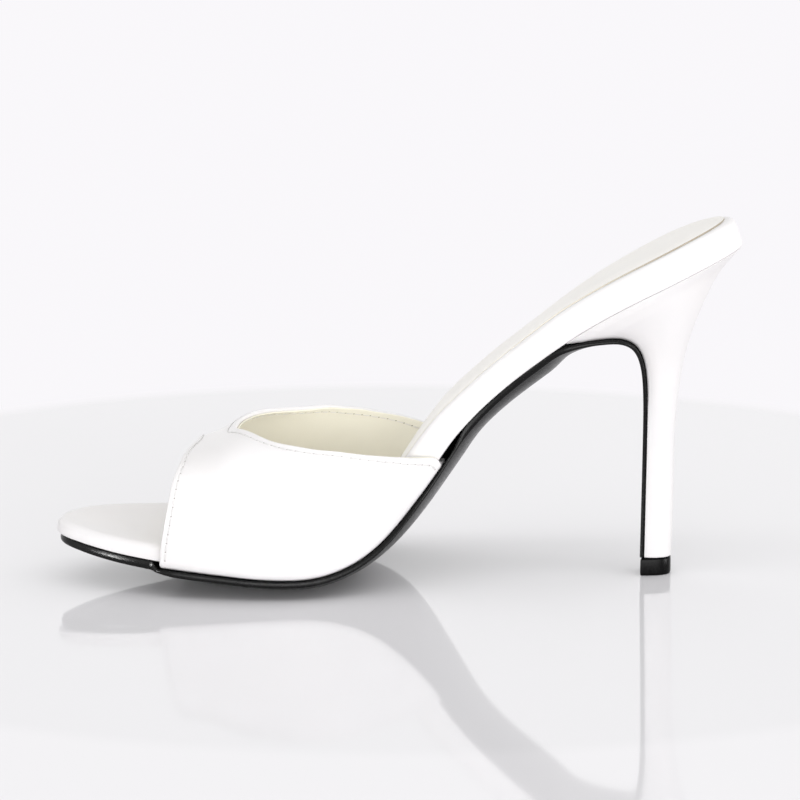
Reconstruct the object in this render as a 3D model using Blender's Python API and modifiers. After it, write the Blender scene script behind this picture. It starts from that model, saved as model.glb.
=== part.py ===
"""Heeled slide sandal for the right foot, women's EU 38, on a 102 mm stiletto heel.

The toe points to -X, the heel to +X, the medial (inner) side of the foot to -Y and up is +Z.
Sizes are in millimetres until a mesh is made, which is in metres.

One line, the underside of the insole board seen from the side, carries the whole shoe. It is
worked out from its pitch along its length, so its length is the real length of the insole.
A point of the shoe is given by its station along that line, its distance across to the lateral
side and its level, which is its height square to the line.
"""
import math

import bmesh
import bpy
import numpy as np
from mathutils import Matrix, Vector

MM = 0.001
COLLECTION = "heeled_slide_sandal"

# driving sizes
BOARD_LENGTH = 254.0        # insole board from toe to heel, along its pitch
TOE_X = -189.3              # toe end of the board, from the middle of the heel tip
TOE_HEIGHT = 16.0           # toe spring: underside of the board at the toe end
TOE_ROUND = 45.0            # length over which the toe outline rounds off
HEEL_ROUND = 30.0           # the same for the seat's back
GAP = 0.3                   # clearance between pieces that lie on each other
PLACES = (-1.0, -0.6, 0.0, 0.6, 1.0)    # lines across a plate's face, by half width

# upper
WALL = 1.8                  # vamp and its lining together
MARGIN_WALL = 1.7           # its lasting margin under the board, a little pressed flat
MARGIN_WIDTH = 9.0
VAMP_STATIONS = 21          # points along each row, front edge to topline

# outsole
EDGE_BEVEL = 0.4            # the underside's edge is eased by this much
RIM_SLOPE = 1.2             # the rebate's inner wall slopes up over this width
FLAP_RIM = 0.58             # on the flap both edges of that slope stay within these shares of
FLAP_STEP = 0.66            # its half width

# sock liner
SOCK_THICKNESS = 1.0
SOCK_INSET = 2.8            # margin of the board that shows beside the sock
SOCK_START = 62.0           # its front end lies hidden under the vamp

# heel and heel tip
NOSE = 194.0                # station where the heel's seat begins
TIP_HEIGHT = 5.4
TIP_FRONT = -4.4
TIP_BACK = 4.8
TIP_SLANT = 0.14            # the heel is turned a little on the shoe's long axis
TIP_HALF = 4.9
FLAP_END = 286.2            # station where the sole's flap ends, just over the tip
SEAT_INSET = 0.5            # how far the heel's seat stays inside the board's edge


def table(columns, *rows):
    """Named columns, one row for each section."""
    return dict(zip(columns.split(), np.array(rows, float).T))


SOLE_COLUMNS = "along pitch slant centre half camber"

# toe to waist, shared by the board and the outsole; pitch in degrees, half = half width
FOREPART = (
    (0, -13.0, 0.10, -6.0, 26.0, 0.4),
    (10, -9.5, 0.10, -3.2, 27.0, 0.8),
    (25, -8.5, 0.10, -2.6, 28.9, 1.1),
    (40, -7.5, 0.10, -1.4, 30.9, 1.4),
    (55, -6.0, 0.12, 0.2, 34.2, 1.7),
    (70, -4.5, 0.14, 1.2, 36.6, 1.9),
    (79, 0.0, 0.15, 1.6, 36.8, 2.0),
    (87, 9.0, 0.15, 2.2, 35.9, 1.9),
    (95, 22.0, 0.15, 3.5, 33.9, 1.8),
    (103, 37.0, 0.15, 5.0, 31.2, 1.6),
    (111, 48.5, 0.15, 6.5, 28.0, 1.4),
    (120, 54.0, 0.15, 8.0, 24.4, 1.1),
    (130, 56.0, 0.14, 8.8, 22.0, 0.8),
    (140, 56.0, 0.14, 8.7, 20.5, 0.7),
    (150, 49.0, 0.14, 8.4, 19.9, 0.5),
    (162, 43.0, 0.15, 7.4, 19.3, 0.4),
    (174, 39.5, 0.17, 5.9, 19.5, 0.2),
    (185, 37.5, 0.18, 3.8, 19.9, 0.0),
)
# the board runs on up the heel seat
SEAT = (
    (196, 35.5, 0.18, 2.0, 20.7, 0.0),
    (208, 31.5, 0.17, 1.0, 22.4, 0.0),
    (222, 28.0, 0.16, 0.6, 24.0, 0.0),
    (238, 25.0, 0.15, 0.5, 24.8, 0.0),
    (254, 20.0, 0.15, 0.3, 24.8, 0.0),
)
# the outsole turns over the arch and runs down the heel breast
BREAST = (
    (189.0, 31.0, 0.18, 3.1, 20.2, 0.0),
    (193.0, 19.0, 0.18, 2.5, 20.3, 0.0),
    (198.0, 11.0, 0.18, 1.9, 20.0, 0.0),
    (204.5, 4.0, 0.17, 1.2, 19.3, 0.0),
    (208.3, -4.0, 0.16, 0.8, 18.2, 0.0),
    (212.3, -28.0, 0.15, 0.5, 16.6, 0.0),
    (216.3, -58.0, 0.14, 0.3, 14.6, 0.0),
    (220.3, -76.0, 0.14, 0.1, 12.4, 0.0),
    (226.1, -85.5, 0.14, 0.0, 9.6, 0.0),
    (233.9, -89.5, 0.14, 0.0, 7.6, 0.0),
    (244.7, -91.0, 0.14, 0.0, 6.2, 0.0),
    (260.5, -91.0, 0.14, 0.0, 5.3, 0.0),
    (297.0, -90.8, 0.14, 0.0, 4.9, 0.0),
)

# insole board: thickness over its length
BOARD = table(
    "along thick",
    (0, 5.0), (40, 5.4), (80, 6.2), (108, 7.6), (122, 8.8), (134, 9.1), (146, 8.7),
    (160, 8.1), (178, 8.2), (200, 8.8), (254, 9.2),
)

# outsole: depth of its lower edge under the board, extra depth of its rounded underside, how
# far it stands outside the board, and the rebate in its top that takes the lasting margin
OUTSOLE = table(
    "along edge belly outset rebate",
    (0, 2.4, 0.6, -1.7, 0.0),
    (15, 2.6, 0.8, -1.0, 0.0),
    (31.5, 2.8, 1.2, -0.6, 0.0),
    (36, 3.4, 1.6, 1.4, 2.1),
    (42, 4.0, 2.3, 1.8, 2.1),
    (60, 4.0, 3.1, 1.8, 2.1),
    (82, 4.0, 3.2, 1.8, 2.1),
    (94, 3.9, 2.2, 1.8, 2.1),
    (106, 3.8, 1.5, 1.8, 2.1),
    (125, 3.4, 1.9, 1.6, 2.1),
    (140, 2.9, 2.4, 1.0, 2.0),
    (152, 2.3, 2.7, -0.2, 0.0),
    (165, 2.1, 3.2, -0.3, 0.0),
    (180, 2.1, 3.6, -0.3, 0.0),
    (190, 1.9, 2.6, -0.3, 0.0),
    (204, 1.3, 1.2, -0.3, 0.0),
    (220, 1.1, 0.4, 0.0, 0.0),
    (294, 1.2, 0.1, 0.0, 0.0),
)

# vamp, inside: height of the crown over the floor, squareness of the arch, how much rounder it
# is on the lateral side, and the swell of its sides
VAMP = table(
    "along crown square fall swell",
    (36, 40.2, 4.2, 2.1, 1.0),
    (45, 42.0, 3.9, 1.8, 1.0),
    (50, 43.2, 3.7, 1.3, 1.0),
    (54, 44.8, 3.5, 0.7, 1.0),
    (58, 47.1, 3.3, 0.3, 1.0),
    (62, 48.8, 3.1, 0.2, 1.0),
    (67, 50.2, 3.0, 0.2, 1.0),
    (74, 52.1, 3.1, 0.2, 1.0),
    (84, 57.0, 3.2, 0.2, 1.5),
    (94, 62.0, 3.2, 0.0, 2.2),
    (106, 66.0, 3.2, 0.0, 3.4),
    (120, 69.0, 3.2, 0.0, 4.0),
    (142, 72.0, 3.2, 0.0, 1.0),
)
# where the vamp ends: stations of its front edge and of its topline on either side, by the
# angle round the arch from the feather to the crown
VAMP_EDGES = table(
    "angle medial_front lateral_front medial_top lateral_top",
    (0, 36.8, 36.9, 136.0, 133.0),
    (2, 37.2, 37.4, 133.3, 130.0),
    (6, 37.9, 38.3, 127.8, 124.5),
    (11, 38.5, 39.0, 121.4, 118.0),
    (21, 39.4, 39.9, 109.4, 105.9),
    (31, 40.0, 40.7, 97.0, 94.1),
    (41, 40.5, 41.5, 86.0, 86.0),
    (51, 41.3, 42.4, 77.8, 78.2),
    (62, 42.0, 43.3, 69.6, 69.0),
    (75, 42.5, 44.1, 62.8, 60.8),
    (84, 43.2, 44.5, 59.2, 57.9),
    (88, 44.0, 44.6, 58.0, 57.7),
    (90, 44.6, 44.6, 57.7, 57.7),
)
# angles round the arch from the feather to the crown at which the vamp has a row of points
VAMP_ANGLES = (0.0, 0.25, 2.0, 6.0, 11.0, 16.0, 21.0, 26.0, 31.0, 36.0, 41.0, 46.0, 51.0,
               56.0, 62.0, 68.0, 75.0, 82.0, 90.0)

# stiletto: back line from its end at the tip to the seat
HEEL_BACK = table(
    "height back",
    (5.7, 4.9), (14.0, 5.2), (30.0, 5.4), (44.0, 5.6), (56.0, 6.5), (63.0, 7.3), (69.5, 8.4),
    (76.0, 10.1), (82.5, 12.3), (89.0, 15.0), (95.0, 17.9), (99.5, 20.8), (103.5, 24.6),
)
# its sections fan out from the seat to the tip: station of the front on the breast, height of
# the back, and the share of the seat's outline in the section
HEEL_SECTIONS = table(
    "front back seat",
    (198.5, 100.5, 0.89),
    (203.0, 96.5, 0.76),
    (207.5, 92.0, 0.62),
    (211.5, 87.0, 0.48),
    (215.5, 81.5, 0.34),
    (219.5, 76.0, 0.22),
    (224.5, 70.0, 0.12),
    (231.5, 62.5, 0.05),
    (239.5, 54.0, 0.02),
    (249.5, 43.0, 0.0),
    (286.2, 5.7, 0.0),
)
HEEL_FRONTS = (286.2, 283.0, 274.0, 262.0, 250.0, 240.0, 232.0, 227.0, 223.0, 220.0, 218.0, 216.0,
               214.0, 212.0, 210.0, 208.0, 206.0, 203.0, 200.0)
HEEL_POINTS = 13            # points along each side of a section


def smooth(at, stations, values):
    """Cubic curve through a table's rows, with slopes that never overshoot a row."""
    at = np.clip(np.asarray(at, float), stations[0], stations[-1])
    step = np.diff(stations)
    rise = np.diff(values) / step
    slope = np.zeros(len(values))
    slope[0], slope[-1] = rise[0], rise[-1]
    same = rise[:-1] * rise[1:] > 0
    blend = 2 * rise[:-1] * rise[1:] / np.where(same, rise[:-1] + rise[1:], 1.0)
    slope[1:-1] = np.where(same, blend, 0.0)
    row = np.clip(np.searchsorted(stations, at, side="right") - 1, 0, len(step) - 1)
    t = (at - stations[row]) / step[row]
    before, after = values[row], values[row + 1]
    return (before * (1 + 2 * t) * (1 - t) ** 2 + after * t * t * (3 - 2 * t)
            + step[row] * (slope[row] * t * (1 - t) ** 2 - slope[row + 1] * t * t * (1 - t)))


class SoleLine:
    """The shoe's carrying line in side view, with the width and slant of its sections."""

    def __init__(self, rows):
        self.rows = table(SOLE_COLUMNS, *rows)
        self.fine = np.arange(0.0, self.rows["along"][-1] + 0.25, 0.25)
        pitch = np.radians(smooth(self.fine, self.rows["along"], self.rows["pitch"]))
        mid = 0.5 * (pitch[1:] + pitch[:-1])
        step = np.diff(self.fine)
        self.x = TOE_X + np.concatenate([[0.0], np.cumsum(step * np.cos(mid))])
        self.z = TOE_HEIGHT + np.concatenate([[0.0], np.cumsum(step * np.sin(mid))])
        self.pitch = pitch

    def column(self, name, along):
        return smooth(along, self.rows["along"], self.rows[name])

    def half_width(self, along, inset):
        """Half the width of the outline drawn in by inset, an ellipse at the toe end."""
        half = self.column("half", along) - inset
        toe = np.clip((TOE_ROUND - along) / (TOE_ROUND - inset), 0.0, 1.0)
        return half * np.sqrt(1.0 - toe ** 2)

    def point(self, along, across, level):
        """A point from its station, distance across and level; the edges curve up."""
        along, across, level = np.broadcast_arrays(along, across, level)
        pitch = np.interp(along, self.fine, self.pitch)
        half = np.maximum(self.column("half", along), 1.0)
        lift = self.column("camber", along) * ((across - self.column("centre", along)) / half) ** 2
        x = np.interp(along, self.fine, self.x) - level * np.sin(pitch)
        x = x + self.column("slant", along) * across
        z = np.interp(along, self.fine, self.z) + level * np.cos(pitch) + lift
        return np.stack([x, across, z], axis=-1)


class BoardLine(SoleLine):
    """The carrying line up to the heel seat, where the outline rounds off again."""

    def half_width(self, along, inset):
        seat_start = BOARD_LENGTH - HEEL_ROUND
        back = np.clip((along - seat_start) / (HEEL_ROUND - inset), 0.0, 1.0)
        return super().half_width(along, inset) * np.sqrt(1.0 - back ** 2)


board_line = BoardLine(FOREPART + SEAT)
outsole_line = SoleLine(FOREPART + BREAST)


def make_object(name, points, faces, materials):
    """Mesh object in metres from points in millimetres, merged, with its faces outward."""
    mesh = bpy.data.meshes.new(name)
    mesh.from_pydata((np.asarray(points).reshape(-1, 3) * MM).tolist(), [], faces)
    bm = bmesh.new()
    bm.from_mesh(mesh)
    bmesh.ops.remove_doubles(bm, verts=bm.verts, dist=0.00001)
    bmesh.ops.dissolve_degenerate(bm, edges=bm.edges, dist=0.00001)
    bmesh.ops.recalc_face_normals(bm, faces=bm.faces)
    bm.to_mesh(mesh)
    bm.free()
    mesh.shade_smooth()
    mesh.set_sharp_from_angle(angle=math.radians(35))
    mesh.materials.append(materials[name])
    obj = bpy.data.objects.new(name, mesh)
    bpy.data.collections[COLLECTION].objects.link(obj)
    return obj


def grid_faces(rows, columns, wrap):
    """Quads of a grid of points, joined round across the columns when wrap is set."""
    last = columns if wrap else columns - 1
    return [(r * columns + c, r * columns + (c + 1) % columns,
             (r + 1) * columns + (c + 1) % columns, (r + 1) * columns + c)
            for r in range(rows - 1) for c in range(last)]


def strip_cap(first, count):
    """Strips across a ring of count points that runs out on one side and back on the other."""
    half = count // 2
    return [(first + i, first + i + 1, first + count - 2 - i, first + count - 1 - i)
            for i in range(half - 1)]


def ease(start, end, count, round_start, round_end):
    """Stations from start to end, packed towards an end that rounds off."""
    t = np.linspace(0.0, 1.0, count)
    if round_start and round_end:
        t = 0.5 - 0.5 * np.cos(math.pi * t)
    elif round_start:
        t = 1.0 - np.cos(0.5 * math.pi * t)
    elif round_end:
        t = np.sin(0.5 * math.pi * t)
    return start + (end - start) * t


def lofted_plate(name, line, lines_across, stations, materials, square_ends):
    """Plate that follows a sole line, flat where it would reach under the floor.

    Each line across is (place, inset, level): place from -1 to 1 across the outline drawn in
    by inset, and level a function of the station and the place. The lines run round the
    cross-section. Stations gives a line's stations from where its outline starts at the toe.
    """
    columns = []
    for place, inset, level in lines_across:
        start = 0.0
        for _ in range(12):
            start = inset(start)
        along = stations(start)
        draw_in = inset(along)
        across = line.column("centre", along) + place * line.half_width(along, draw_in)
        columns.append(line.point(along, across, level(along, place)))
    points = np.stack(columns, axis=1)
    points[..., 2] = np.maximum(points[..., 2], 0.0)
    rows, count = points.shape[:2]
    faces = grid_faces(rows, count, wrap=True)
    if "start" in square_ends:
        faces += strip_cap(0, count)
    if "end" in square_ends:
        faces += strip_cap((rows - 1) * count, count)
    return make_object(name, points, faces, materials)


def constant(value):
    """The same inset at every station."""
    return lambda along: np.full(np.shape(along), float(value))


def make_insole_board(materials):
    """Padded board with a rounded edge, wrapped in the upper's own material."""
    def below_top(drop):
        return lambda along, place: smooth(along, BOARD["along"], BOARD["thick"]) - drop

    def above_line(rise):
        return lambda along, place: np.full(np.shape(along), rise)

    under = [(place, constant(0.8), above_line(0.0)) for place in PLACES]
    over = [(place, constant(2.6), below_top(0.0)) for place in reversed(PLACES)]
    lateral = [(1.0, constant(0.1), above_line(0.8)), (1.0, constant(0.0), above_line(2.6)),
               (1.0, constant(0.8), below_top(0.7))]
    medial = [(-place, inset, level) for place, inset, level in reversed(lateral)]
    return lofted_plate(
        "insole_board", board_line, under + lateral + over + medial,
        lambda start: ease(start, BOARD_LENGTH - start, 45, True, True), materials, ())


def make_sock_liner(materials):
    """Thin sock on the board, from under the vamp to the seat's back."""
    def over_board(rise):
        return lambda along, place: smooth(along, BOARD["along"], BOARD["thick"]) + rise

    under = [(place, constant(SOCK_INSET), over_board(GAP)) for place in PLACES]
    over = [(place, constant(SOCK_INSET), over_board(GAP + SOCK_THICKNESS))
            for place in reversed(PLACES)]
    return lofted_plate(
        "sock_liner", board_line, under + over,
        lambda start: ease(SOCK_START, BOARD_LENGTH - start, 33, False, True),
        materials, ("start",))


def make_outsole(materials):
    """One sheet from the toe over the arch and down the heel breast, rounded underneath."""
    def outsole_column(name, along):
        return smooth(along, OUTSOLE["along"], OUTSOLE[name])

    def top(rebated):
        return lambda along, place: -GAP - (outsole_column("rebate", along) if rebated else 0.0)

    def bottom(along, place):
        depth = outsole_column("belly", along) * (1.0 - abs(place) ** 3)
        return -GAP - outsole_column("edge", along) - depth

    def outline(further):
        return lambda along: further - outsole_column("outset", along)

    def inner_line(further, limit):
        """Inset of a line on the sole's top, held back where the flap is narrow."""
        return lambda along: np.minimum(outline(further)(along),
                                        limit * outsole_line.column("half", along))

    rim = MARGIN_WIDTH + WALL + 2 * GAP
    rim_line = inner_line(rim, FLAP_RIM)
    step_line = inner_line(rim + RIM_SLOPE, FLAP_STEP)
    rebate = [(1.0, outline(0.0), top(True)), (1.0, rim_line, top(True))]
    filler = [(place, step_line, top(False)) for place in (1.0, 0.0, -1.0)]
    over = rebate + filler + [(-place, inset, level) for place, inset, level in rebate[::-1]]
    under = [(place, outline(0.0 if abs(place) == 1 else EDGE_BEVEL), bottom)
             for place in (-1.0, -0.86, -0.6, -0.3, 0.0, 0.3, 0.6, 0.86, 1.0)]

    def stations(start):
        return np.concatenate([
            ease(start, 28.0, 9, True, False), np.arange(30.0, 43.0, 1.5),
            np.linspace(46.0, 185.0, 28), np.linspace(188.0, 230.0, 22),
            np.linspace(238.0, FLAP_END, 7)])

    return lofted_plate("outsole", outsole_line, under + over, stations, materials,
                        ("end",))


def vamp_arch(along, angle, side):
    """Half width share and height share of the arch at an angle from the feather."""
    square = smooth(along, VAMP["along"], VAMP["square"])
    if side > 0:
        square = square - smooth(along, VAMP["along"], VAMP["fall"])
    turn = math.radians(angle)
    return np.cos(turn) ** (2 / square) * (angle < 90), np.sin(turn) ** (2 / square)


def vamp_point(along, angle, side):
    """Inside of the vamp: a squared arch that stands upright on the board's edge."""
    share, rise = vamp_arch(along, angle, side)
    half = board_line.half_width(along, -GAP)
    swell = smooth(along, VAMP["along"], VAMP["swell"]) * np.sin(math.pi * rise)
    across = board_line.column("centre", along) + side * (half * share + swell)
    edge = board_line.column("centre", along) + side * half
    foot = board_line.point(along, edge, -GAP)
    x = foot[:, 0] + board_line.column("slant", along) * (across - edge)
    crown = smooth(along, VAMP["along"], VAMP["crown"])
    return np.stack([x, across, foot[:, 2] + (crown - foot[:, 2]) * rise], axis=-1)


def vamp_reach(angle, side):
    """Stations of the front edge and of the topline on the row at an angle."""
    name = "medial" if side < 0 else "lateral"
    front, top = (float(smooth(angle, VAMP_EDGES["angle"], VAMP_EDGES[name + end]))
                  for end in ("_front", "_top"))
    return front, top


def make_upper(materials):
    """Open-toed vamp: one band over the forefoot, turned under the board as a margin."""
    rows, weights = [], []
    for side in (-1, 1):
        half_rows = []
        for angle in VAMP_ANGLES:
            along = np.linspace(*vamp_reach(angle, side), VAMP_STATIONS)
            half_rows.append((vamp_point(along, angle, side), 0.0 if angle == 0 else 1.0))
            if angle == 0:
                for inset in (0.5 * MARGIN_WIDTH, MARGIN_WIDTH):
                    edge = board_line.half_width(along, -GAP) - inset
                    across = board_line.column("centre", along) + side * edge
                    half_rows.insert(0, (board_line.point(along, across, -GAP), 0.0))
        if side == 1:
            half_rows = half_rows[-2::-1]
        rows += [points for points, _ in half_rows]
        weights += [weight for _, weight in half_rows]
    obj = make_object("upper", rows, grid_faces(len(rows), VAMP_STATIONS, False), materials)
    wall = obj.vertex_groups.new(name="wall")
    heavy = [row * VAMP_STATIONS + column for row, weight in enumerate(weights) if weight
             for column in range(VAMP_STATIONS)]
    wall.add(heavy, 1.0, "REPLACE")
    solid = obj.modifiers.new("wall", "SOLIDIFY")
    solid.thickness = WALL * MM
    solid.offset = 1.0
    solid.use_even_offset = True
    solid.vertex_group = wall.name
    solid.thickness_vertex_group = MARGIN_WALL / WALL
    return obj


def section_round(share):
    """Half width along a heel section: straight sides and a rounded back."""
    return (1.0 - share ** 2.6) ** (1 / 2.6)


def ring_both_sides(centre, half, place):
    """Closed ring from the front corner round the back: place(share index, across)."""
    medial = [place(i, centre[i] - half[i]) for i in range(len(half))]
    lateral = [place(i, centre[i] + half[i]) for i in range(len(half))]
    return medial + lateral[::-1]


def make_heel(materials):
    """Stiletto, wrapped like the board, that fans out from the tip to the seat."""
    share = np.sin(np.linspace(0.0, 0.5 * math.pi, HEEL_POINTS))
    seat_along = NOSE + share * (BOARD_LENGTH - SEAT_INSET - NOSE)
    seat_half = board_line.half_width(seat_along, SEAT_INSET)
    seat_half[-1] = 0.0
    seat_centre = board_line.column("centre", seat_along)
    seat_line = board_line.point(seat_along, 0.0, -GAP)
    chord = seat_line[0] + share[:, None] * (seat_line[-1] - seat_line[0])
    round_back = section_round(share)
    corner = np.where(np.arange(HEEL_POINTS) == 0, 0.96, 1.0)
    rings = []
    for front in HEEL_FRONTS:
        back, seat = (smooth(front, HEEL_SECTIONS["front"], HEEL_SECTIONS[name])
                      for name in ("back", "seat"))
        start = outsole_line.point(front, 0.0, 0.05)
        end = np.array([smooth(back, HEEL_BACK["height"], HEEL_BACK["back"]), 0.0, back])
        spine = start + share[:, None] * (end - start) + seat * (seat_line - chord)
        front_half = outsole_line.column("half", front)
        half = front_half * corner * ((1 - seat) * round_back + seat * seat_half / seat_half[0])
        centre = (1 - seat) * outsole_line.column("centre", front) + seat * seat_centre
        slant = outsole_line.column("slant", front)
        rings += ring_both_sides(centre, half, lambda i, across: spine[i] + np.array(
            [slant * across, across, 0.0]))
    top = board_line.point(seat_along, seat_centre, -GAP)
    slants = board_line.column("slant", seat_along)
    rings += ring_both_sides(seat_centre, seat_half * corner, lambda i, across: top[i] + np.array(
        [slants[i], 1.0, 0.0]) * (across - seat_centre[i]))
    count = 2 * HEEL_POINTS
    levels = len(rings) // count
    faces = grid_faces(levels, count, wrap=True)
    faces += strip_cap(0, count) + strip_cap((levels - 1) * count, count)
    return make_object("heel", rings, faces, materials)


def make_heel_tip(materials):
    """Top lift under the heel, its lower rim a little rounded."""
    share = np.sin(np.linspace(0.0, 0.5 * math.pi, HEEL_POINTS))
    rings = []
    for height, draw_in in ((0.0, 0.35), (0.35, 0.0), (TIP_HEIGHT, 0.1)):
        length = TIP_BACK - TIP_FRONT - 2 * draw_in
        half = (TIP_HALF - draw_in) * section_round(share)
        rings += ring_both_sides(np.zeros(HEEL_POINTS), half, lambda i, across: np.array(
            [TIP_FRONT + draw_in + share[i] * length + TIP_SLANT * across, across, height]))
    count = 2 * HEEL_POINTS
    faces = grid_faces(3, count, wrap=True) + strip_cap(0, count) + strip_cap(2 * count, count)
    return make_object("heel_tip", rings, faces, materials)


def finish(name, colour, roughness):
    """Plain finish for one piece."""
    material = bpy.data.materials.new(name)
    material.use_nodes = True
    shader = material.node_tree.nodes["Principled BSDF"]
    shader.inputs["Base Color"].default_value = (*colour, 1.0)
    shader.inputs["Roughness"].default_value = roughness
    shader.inputs["Metallic"].default_value = 0.0
    return material


def stand_on_floor(objects):
    """Move the whole shoe so that the origin is under the middle of its bounding box."""
    bpy.context.view_layer.update()
    graph = bpy.context.evaluated_depsgraph_get()
    corners = np.array([corner for obj in objects for corner in obj.evaluated_get(graph).bound_box])
    low, high = corners.min(axis=0), corners.max(axis=0)
    shift = Vector((-(low[0] + high[0]) / 2, -(low[1] + high[1]) / 2, 0.0))
    for obj in objects:
        obj.data.transform(Matrix.Translation(shift))


def main():
    for obj in list(bpy.data.objects):
        bpy.data.objects.remove(obj)
    collection = bpy.data.collections.new(COLLECTION)
    bpy.context.scene.collection.children.link(collection)
    materials = {
        "upper": finish("white_leather", (0.86, 0.86, 0.86), 0.38),
        "insole_board": finish("white_wrap", (0.86, 0.86, 0.85), 0.42),
        "sock_liner": finish("cream_sock", (0.82, 0.80, 0.72), 0.6),
        "outsole": finish("black_outsole", (0.012, 0.012, 0.013), 0.3),
        "heel": finish("white_heel_cover", (0.86, 0.86, 0.85), 0.35),
        "heel_tip": finish("black_top_lift", (0.015, 0.015, 0.015), 0.3),
    }
    makers = (make_outsole, make_insole_board, make_sock_liner, make_upper, make_heel,
              make_heel_tip)
    stand_on_floor([make(materials) for make in makers])


main()
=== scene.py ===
"""Dressed model of a white heeled slide sandal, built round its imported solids.

Sizes are in millimetres in the last's own frame until a mesh is made: the middle of the heel
tip at X 0, Y 0, the toe to -X, the medial side of the foot to -Y and up +Z.
"""
import math

import bmesh
import bpy
import numpy as np
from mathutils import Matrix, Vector


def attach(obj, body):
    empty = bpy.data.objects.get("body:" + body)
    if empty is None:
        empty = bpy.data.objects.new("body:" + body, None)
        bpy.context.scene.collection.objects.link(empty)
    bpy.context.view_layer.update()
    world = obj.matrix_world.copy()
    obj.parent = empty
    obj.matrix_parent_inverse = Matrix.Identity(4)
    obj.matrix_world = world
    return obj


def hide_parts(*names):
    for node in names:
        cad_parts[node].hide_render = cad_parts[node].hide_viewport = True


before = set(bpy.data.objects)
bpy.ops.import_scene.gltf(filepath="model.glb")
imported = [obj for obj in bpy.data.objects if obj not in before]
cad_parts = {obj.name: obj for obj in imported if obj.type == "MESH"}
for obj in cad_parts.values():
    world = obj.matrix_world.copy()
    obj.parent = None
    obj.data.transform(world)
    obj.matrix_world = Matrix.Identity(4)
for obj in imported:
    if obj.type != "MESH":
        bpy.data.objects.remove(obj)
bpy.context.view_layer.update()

MM = 0.001
SHOE_SHIFT = (81.644, -1.616, 0.0)      # from the last's frame to the middle of the shoe's box

# sizes shared with the solids
BOARD_LENGTH = 254.0        # insole board from toe to heel, along its pitch
TOE_X = -189.3              # toe end of the board's underside
TOE_HEIGHT = 16.0
TOE_ROUND = 45.0            # length over which the toe outline rounds off
HEEL_ROUND = 30.0           # the same for the seat's back
GAP = 0.3                   # clearance between pieces that lie on each other
MARGIN_WIDTH = 9.0
SOCK_THICKNESS = 1.0
SOCK_INSET = 2.8            # margin of the board that shows beside the sock
SOCK_START = 62.0           # its front end lies hidden under the vamp
NOSE = 194.0                # station where the heel's seat begins
FLAP_END = 286.2            # station where the sole's flap ends, just over the tip
SEAT_INSET = 0.5            # how far the heel's seat stays inside the board's edge
BREAST_REACH = 0.35         # the stem rounds towards the breast over this share of its depth
TIP_HEIGHT = 5.4
TIP_FRONT = -4.4
TIP_BACK = 4.8
TIP_SLANT = 0.14            # the heel is turned a little on the shoe's long axis
TIP_HALF = 4.9
RIM_SLOPE = 1.2             # the rebate's inner wall slopes up over this width
FLAP_RIM = 0.58             # on the flap both edges of that slope stay within these shares
FLAP_STEP = 0.66            # of its half width

# make-up of the wall of the vamp, counted outward from the foot
LINING_OUT = 0.45
LEATHER_IN = 0.5
LEATHER_OUT = 1.8
MARGIN_OUT = 1.7            # the lasting margin under the board, a little pressed flat
LINING_BACK = 0.25          # the lining stops this far short of the folded edge
FRONT_SEAM_IN = 1.75        # the stitching lies this far from each folded edge
TOPLINE_SEAM_IN = 2.8
SEAM_DEPTH = 0.08           # and draws the leather down this much
STITCH_PITCH = 2.95
STITCH_LENGTH = 2.5
SHARP_ANGLE = 50.0          # edges that turn more than this are shaded sharp
STATION_STEP = 0.25         # of the sums along the sole line
MERGE_M = 0.000004          # in metres: points closer than this are one, and slivers thinner
SLIVER_M = 0.000002         # than this go


def table(columns, *rows):
    """Named columns, one row for each section."""
    return dict(zip(columns.split(), np.array(rows, float).T))


SOLE_COLUMNS = "along pitch slant centre half camber"
FOREPART = (
    (0, -13.0, 0.10, -6.0, 26.0, 0.4),
    (10, -9.5, 0.10, -3.2, 27.0, 0.8),
    (25, -8.5, 0.10, -2.6, 28.9, 1.1),
    (40, -7.5, 0.10, -1.4, 30.9, 1.4),
    (55, -6.0, 0.12, 0.2, 34.2, 1.7),
    (70, -4.5, 0.14, 1.2, 36.6, 1.9),
    (79, 0.0, 0.15, 1.6, 36.8, 2.0),
    (87, 9.0, 0.15, 2.2, 35.9, 1.9),
    (95, 22.0, 0.15, 3.5, 33.9, 1.8),
    (103, 37.0, 0.15, 5.0, 31.2, 1.6),
    (111, 48.5, 0.15, 6.5, 28.0, 1.4),
    (120, 54.0, 0.15, 8.0, 24.4, 1.1),
    (130, 56.0, 0.14, 8.8, 22.0, 0.8),
    (140, 56.0, 0.14, 8.7, 20.5, 0.7),
    (150, 49.0, 0.14, 8.4, 19.9, 0.5),
    (162, 43.0, 0.15, 7.4, 19.3, 0.4),
    (174, 39.5, 0.17, 5.9, 19.5, 0.2),
    (185, 37.5, 0.18, 3.8, 19.9, 0.0),
)
SEAT = (
    (196, 35.5, 0.18, 2.0, 20.7, 0.0),
    (208, 31.5, 0.17, 1.0, 22.4, 0.0),
    (222, 28.0, 0.16, 0.6, 24.0, 0.0),
    (238, 25.0, 0.15, 0.5, 24.8, 0.0),
    (254, 20.0, 0.15, 0.3, 24.8, 0.0),
)
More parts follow.
